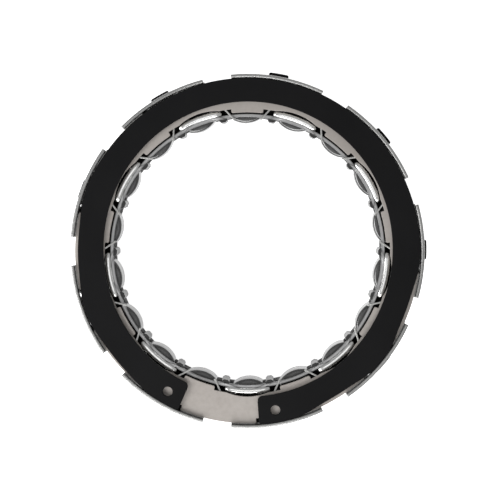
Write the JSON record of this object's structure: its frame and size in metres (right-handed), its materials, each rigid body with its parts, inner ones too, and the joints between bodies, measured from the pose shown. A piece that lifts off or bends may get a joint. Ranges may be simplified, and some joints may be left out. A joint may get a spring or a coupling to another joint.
{
  "type": "sprag clutch",
  "caption": "Caged sprag clutch: rocking sprags held between an outer and an inner cage, with end plates, bow springs and an open retaining ring.",
  "frame": {"origin": "on the clutch axis, at the rear face", "axes": "+Z along the clutch axis, from the rear plate towards the retaining ring; +X through the middle of one pad of the outer cage"},
  "size_m": [0.0588, 0.0594, 0.0135],
  "materials": {
    "cage_steel": "satin drawn steel",
    "plate_steel": "grey-beige satin stamped steel",
    "black_oxide": "black oxide",
    "black_ring": "black phosphated spring steel, satin",
    "inner_cage_steel": "satin drawn steel",
    "spring_steel": "bright spring strip",
    "sprag_steel": "ground and polished hardened steel"
  },
  "bodies": {
    "cage": {"outer_cage": "cage_steel", "front_plate": "plate_steel", "rear_plate": "black_oxide", "retaining_ring": "black_ring"},
    "inner_cage": {"inner_cage": "inner_cage_steel", "bow_spring_1": "spring_steel", "bow_spring_2": "spring_steel", "bow_spring_3": "spring_steel", "bow_spring_4": "spring_steel", "bow_spring_5": "spring_steel", "bow_spring_6": "spring_steel", "bow_spring_7": "spring_steel", "bow_spring_8": "spring_steel", "bow_spring_9": "spring_steel"},
    "sprag_01": {"sprag_01": "sprag_steel"},
    "sprag_02": {"sprag_02": "sprag_steel"},
    "sprag_03": {"sprag_03": "sprag_steel"},
    "sprag_04": {"sprag_04": "sprag_steel"},
    "sprag_05": {"sprag_05": "sprag_steel"},
    "sprag_06": {"sprag_06": "sprag_steel"},
    "sprag_07": {"sprag_07": "sprag_steel"},
    "sprag_08": {"sprag_08": "sprag_steel"},
    "sprag_09": {"sprag_09": "sprag_steel"},
    "sprag_10": {"sprag_10": "sprag_steel"},
    "sprag_11": {"sprag_11": "sprag_steel"},
    "sprag_12": {"sprag_12": "sprag_steel"},
    "sprag_13": {"sprag_13": "sprag_steel"},
    "sprag_14": {"sprag_14": "sprag_steel"},
    "sprag_15": {"sprag_15": "sprag_steel"},
    "sprag_16": {"sprag_16": "sprag_steel"},
    "sprag_17": {"sprag_17": "sprag_steel"},
    "sprag_18": {"sprag_18": "sprag_steel"}
  },
  "joints": [
    {"name": "cage_phasing", "type": "hinge", "parent": "cage", "child": "inner_cage", "pos_m": [0, 0, 0.006], "axis": [0, 0, 1], "range_deg": [0, 2.5], "stiffness_Nm_per_rad": 0.05, "springref_deg": -1.15},
    {"name": "sprag_01_rock", "type": "hinge", "parent": "cage", "child": "sprag_01", "pos_m": [0.02777, 0.0049, 0.006], "axis": [0, 0, 1], "range_deg": [-8.5, 0]},
    {"name": "sprag_02_rock", "type": "hinge", "parent": "cage", "child": "sprag_02", "pos_m": [0.02442, 0.0141, 0.006], "axis": [0, 0, 1], "range_deg": [-8.5, 0]},
    {"name": "sprag_03_rock", "type": "hinge", "parent": "cage", "child": "sprag_03", "pos_m": [0.01813, 0.0216, 0.006], "axis": [0, 0, 1], "range_deg": [-8.5, 0]},
    {"name": "sprag_04_rock", "type": "hinge", "parent": "cage", "child": "sprag_04", "pos_m": [0.00965, 0.0265, 0.006], "axis": [0, 0, 1], "range_deg": [-8.5, 0]},
    {"name": "sprag_05_rock", "type": "hinge", "parent": "cage", "child": "sprag_05", "pos_m": [0, 0.0282, 0.006], "axis": [0, 0, 1], "range_deg": [-8.5, 0]},
    {"name": "sprag_06_rock", "type": "hinge", "parent": "cage", "child": "sprag_06", "pos_m": [-0.00965, 0.0265, 0.006], "axis": [0, 0, 1], "range_deg": [-8.5, 0]},
    {"name": "sprag_07_rock", "type": "hinge", "parent": "cage", "child": "sprag_07", "pos_m": [-0.01813, 0.0216, 0.006], "axis": [0, 0, 1], "range_deg": [-8.5, 0]},
    {"name": "sprag_08_rock", "type": "hinge", "parent": "cage", "child": "sprag_08", "pos_m": [-0.02442, 0.0141, 0.006], "axis": [0, 0, 1], "range_deg": [-8.5, 0]},
    {"name": "sprag_09_rock", "type": "hinge", "parent": "cage", "child": "sprag_09", "pos_m": [-0.02777, 0.0049, 0.006], "axis": [0, 0, 1], "range_deg": [-8.5, 0]},
    {"name": "sprag_10_rock", "type": "hinge", "parent": "cage", "child": "sprag_10", "pos_m": [-0.02777, -0.0049, 0.006], "axis": [0, 0, 1], "range_deg": [-8.5, 0]},
    {"name": "sprag_11_rock", "type": "hinge", "parent": "cage", "child": "sprag_11", "pos_m": [-0.02442, -0.0141, 0.006], "axis": [0, 0, 1], "range_deg": [-8.5, 0]},
    {"name": "sprag_12_rock", "type": "hinge", "parent": "cage", "child": "sprag_12", "pos_m": [-0.01813, -0.0216, 0.006], "axis": [0, 0, 1], "range_deg": [-8.5, 0]},
    {"name": "sprag_13_rock", "type": "hinge", "parent": "cage", "child": "sprag_13", "pos_m": [-0.00965, -0.0265, 0.006], "axis": [0, 0, 1], "range_deg": [-8.5, 0]},
    {"name": "sprag_14_rock", "type": "hinge", "parent": "cage", "child": "sprag_14", "pos_m": [0, -0.0282, 0.006], "axis": [0, 0, 1], "range_deg": [-8.5, 0]},
    {"name": "sprag_15_rock", "type": "hinge", "parent": "cage", "child": "sprag_15", "pos_m": [0.00965, -0.0265, 0.006], "axis": [0, 0, 1], "range_deg": [-8.5, 0]},
    {"name": "sprag_16_rock", "type": "hinge", "parent": "cage", "child": "sprag_16", "pos_m": [0.01813, -0.0216, 0.006], "axis": [0, 0, 1], "range_deg": [-8.5, 0]},
    {"name": "sprag_17_rock", "type": "hinge", "parent": "cage", "child": "sprag_17", "pos_m": [0.02442, -0.0141, 0.006], "axis": [0, 0, 1], "range_deg": [-8.5, 0]},
    {"name": "sprag_18_rock", "type": "hinge", "parent": "cage", "child": "sprag_18", "pos_m": [0.02777, -0.0049, 0.006], "axis": [0, 0, 1], "range_deg": [-8.5, 0]}
  ],
  "couplings": [
    {"joint": "sprag_01_rock", "follows": "cage_phasing", "ratio": -3.338},
    {"joint": "sprag_02_rock", "follows": "cage_phasing", "ratio": -3.338},
    {"joint": "sprag_03_rock", "follows": "cage_phasing", "ratio": -3.338},
    {"joint": "sprag_04_rock", "follows": "cage_phasing", "ratio": -3.338},
    {"joint": "sprag_05_rock", "follows": "cage_phasing", "ratio": -3.338},
    {"joint": "sprag_06_rock", "follows": "cage_phasing", "ratio": -3.338},
    {"joint": "sprag_07_rock", "follows": "cage_phasing", "ratio": -3.338},
    {"joint": "sprag_08_rock", "follows": "cage_phasing", "ratio": -3.338},
    {"joint": "sprag_09_rock", "follows": "cage_phasing", "ratio": -3.338},
    {"joint": "sprag_10_rock", "follows": "cage_phasing", "ratio": -3.338},
    {"joint": "sprag_11_rock", "follows": "cage_phasing", "ratio": -3.338},
    {"joint": "sprag_12_rock", "follows": "cage_phasing", "ratio": -3.338},
    {"joint": "sprag_13_rock", "follows": "cage_phasing", "ratio": -3.338},
    {"joint": "sprag_14_rock", "follows": "cage_phasing", "ratio": -3.338},
    {"joint": "sprag_15_rock", "follows": "cage_phasing", "ratio": -3.338},
    {"joint": "sprag_16_rock", "follows": "cage_phasing", "ratio": -3.338},
    {"joint": "sprag_17_rock", "follows": "cage_phasing", "ratio": -3.338},
    {"joint": "sprag_18_rock", "follows": "cage_phasing", "ratio": -3.338}
  ]
}
